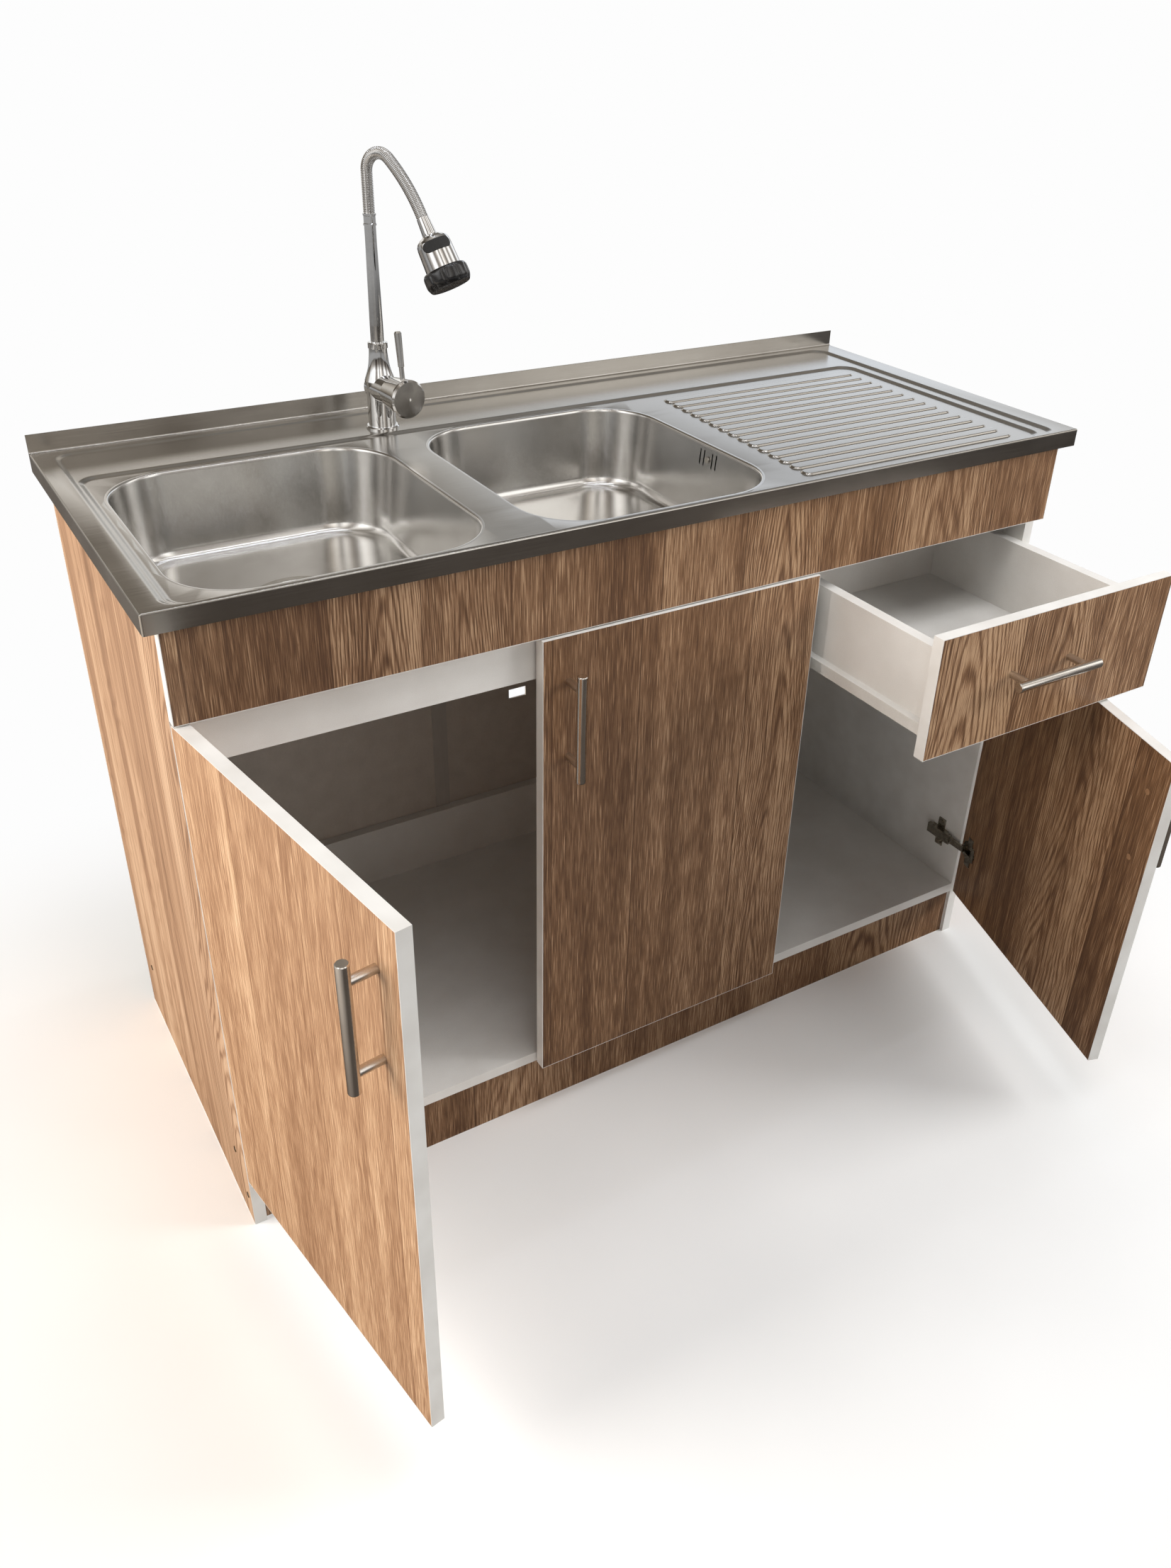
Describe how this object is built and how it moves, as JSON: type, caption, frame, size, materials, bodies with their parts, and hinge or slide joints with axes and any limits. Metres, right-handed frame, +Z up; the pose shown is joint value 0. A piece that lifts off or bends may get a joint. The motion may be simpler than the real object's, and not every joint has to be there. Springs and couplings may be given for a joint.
{
  "type": "kitchen sink unit",
  "caption": "Floor-standing kitchen sink unit with two bowls, a drainer, a flexible mixer tap, hinged doors and a drawer.",
  "frame": {"origin": "centre of the plinth board's underside, on the floor", "axes": "+X to the right seen from the front, +Y towards the wall behind, +Z up"},
  "size_m": [1.2, 0.8705, 1.1508],
  "materials": {
    "oak_laminate": "printed oak grain on board, satin",
    "white_laminate": "fine matt laminate",
    "grey_hardboard": "lacquered hardboard, satin",
    "grey_plastic": "extruded strip, satin",
    "stainless_steel": "brushed",
    "chrome": "polished plate",
    "brass": "machined",
    "nickel_steel": "nickel plated, satin",
    "white_steel": "epoxy powder coat",
    "white_plastic": "moulded, satin",
    "nylon": "moulded, satin",
    "black_rubber": "smooth",
    "black_plastic": "fine satin"
  },
  "bodies": {
    "cabinet": {"left_side_panel": "oak_laminate", "right_side_panel": "oak_laminate", "partition_panel": "white_laminate", "floor_panel": "white_laminate", "plinth_board": "oak_laminate", "front_fascia": "oak_laminate", "front_rail": "white_laminate", "rear_top_rail": "white_laminate", "rear_lower_rail": "white_laminate", "left_back_panel": "grey_hardboard", "right_back_panel": "grey_hardboard", "back_joint_strip": "grey_plastic", "sink_deck": "stainless_steel", "left_bowl": "stainless_steel", "right_bowl": "stainless_steel", "waste_bodies": "stainless_steel", "waste_nuts": "white_plastic", "overflow_elbow": "white_plastic", "overflow_screw": "stainless_steel", "tap_base_ring": "chrome", "tap_body": "chrome", "tap_shank": "brass", "tap_fixing_nut": "brass", "hinge_mounting_plates": "nickel_steel", "hinge_arms": "nickel_steel", "wood_screws": "nickel_steel", "cabinet_runners": "white_steel"},
    "left_door": {"left_door_panel": "oak_laminate", "left_door_handle_bar": "chrome", "left_door_handle_posts": "chrome", "left_door_hinge_cups": "nickel_steel"},
    "middle_door": {"middle_door_panel": "oak_laminate", "middle_door_handle_bar": "chrome", "middle_door_handle_posts": "chrome", "middle_door_hinge_cups": "nickel_steel"},
    "right_door": {"right_door_panel": "oak_laminate", "right_door_handle_bar": "chrome", "right_door_handle_posts": "chrome", "right_door_hinge_cups": "nickel_steel"},
    "drawer": {"drawer_front": "oak_laminate", "drawer_sides": "white_laminate", "drawer_back": "white_laminate", "drawer_bottom": "white_laminate", "drawer_handle_bar": "chrome", "drawer_handle_posts": "chrome", "drawer_runners": "white_steel"},
    "cabinet_roller_pair": {"cabinet_rollers": "nylon"},
    "drawer_roller_pair": {"drawer_rollers": "nylon"},
    "left_basket": {"left_strainer": "stainless_steel"},
    "right_basket": {"right_strainer": "stainless_steel"},
    "tap_spout": {"spout_pipe": "chrome", "spout_collar": "chrome", "spout_hose": "chrome", "hose_ferrule": "chrome", "spray_body": "chrome"},
    "spray_selector": {"spray_ring": "black_plastic"},
    "spray_trigger": {"spray_button": "black_rubber"},
    "tap_cartridge": {"tap_cartridge_stem": "brass"},
    "tap_lever": {"tap_lever_hub": "chrome", "tap_lever_rod": "chrome"}
  },
  "joints": [
    {"name": "left_door_hinge", "type": "hinge", "parent": "cabinet", "child": "left_door", "pos_m": [-0.5735, -0.0242, 0.3955], "axis": [0, 0, -1], "range_deg": [-81, 14]},
    {"name": "middle_door_hinge", "type": "hinge", "parent": "cabinet", "child": "middle_door", "pos_m": [0.1865, -0.0242, 0.3955], "axis": [0, 0, 1], "range_deg": [0, 90]},
    {"name": "right_door_hinge", "type": "hinge", "parent": "cabinet", "child": "right_door", "pos_m": [0.5735, -0.0242, 0.316], "axis": [0, 0, 1], "range_deg": [-73, 22]},
    {"name": "drawer_slide", "type": "slide", "parent": "cabinet", "child": "drawer", "axis": [0, -1, 0], "range_m": [-0.205, 0.095]},
    {"name": "cabinet_rollers_turn", "type": "hinge", "parent": "cabinet", "child": "cabinet_roller_pair", "pos_m": [0.3835, 0.0015, 0.58], "axis": [1, 0, 0], "continuous": true},
    {"name": "drawer_rollers_turn", "type": "hinge", "parent": "drawer", "child": "drawer_roller_pair", "pos_m": [0.3835, 0.1175, 0.576], "axis": [1, 0, 0], "continuous": true},
    {"name": "left_basket_lift", "type": "slide", "parent": "cabinet", "child": "left_basket", "axis": [0, 0, 1], "range_m": [0, 0.05]},
    {"name": "right_basket_lift", "type": "slide", "parent": "cabinet", "child": "right_basket", "axis": [0, 0, 1], "range_m": [0, 0.05]},
    {"name": "spout_swivel", "type": "hinge", "parent": "cabinet", "child": "tap_spout", "pos_m": [-0.1865, 0.3895, 0.95], "axis": [0, 0, 1], "range_deg": [-170, 170]},
    {"name": "spray_selector_turn", "type": "hinge", "parent": "tap_spout", "child": "spray_selector", "pos_m": [-0.13794, 0.28536, 1.02006], "axis": [0.2049, -0.4394, -0.8746], "range_deg": [0, 90]},
    {"name": "spray_trigger_press", "type": "slide", "parent": "tap_spout", "child": "spray_trigger", "axis": [0.2337, 0.8897, -0.3922], "range_m": [0, 0.001], "stiffness_N_per_m": 1500},
    {"name": "tap_lever_turn", "type": "hinge", "parent": "cabinet", "child": "tap_cartridge", "pos_m": [-0.1826, 0.35774, 0.8775], "axis": [0.1219, -0.9925, 0], "range_deg": [-45, 45]},
    {"name": "tap_lever_lift", "type": "hinge", "parent": "tap_cartridge", "child": "tap_lever", "pos_m": [-0.1826, 0.35774, 0.8775], "axis": [0.9925, 0.1219, 0], "range_deg": [0, 20]}
  ],
  "couplings": [
    {"joint": "cabinet_rollers_turn", "follows": "drawer_slide", "rad_per_m": 117.65},
    {"joint": "drawer_rollers_turn", "follows": "drawer_slide", "rad_per_m": 117.65}
  ]
}
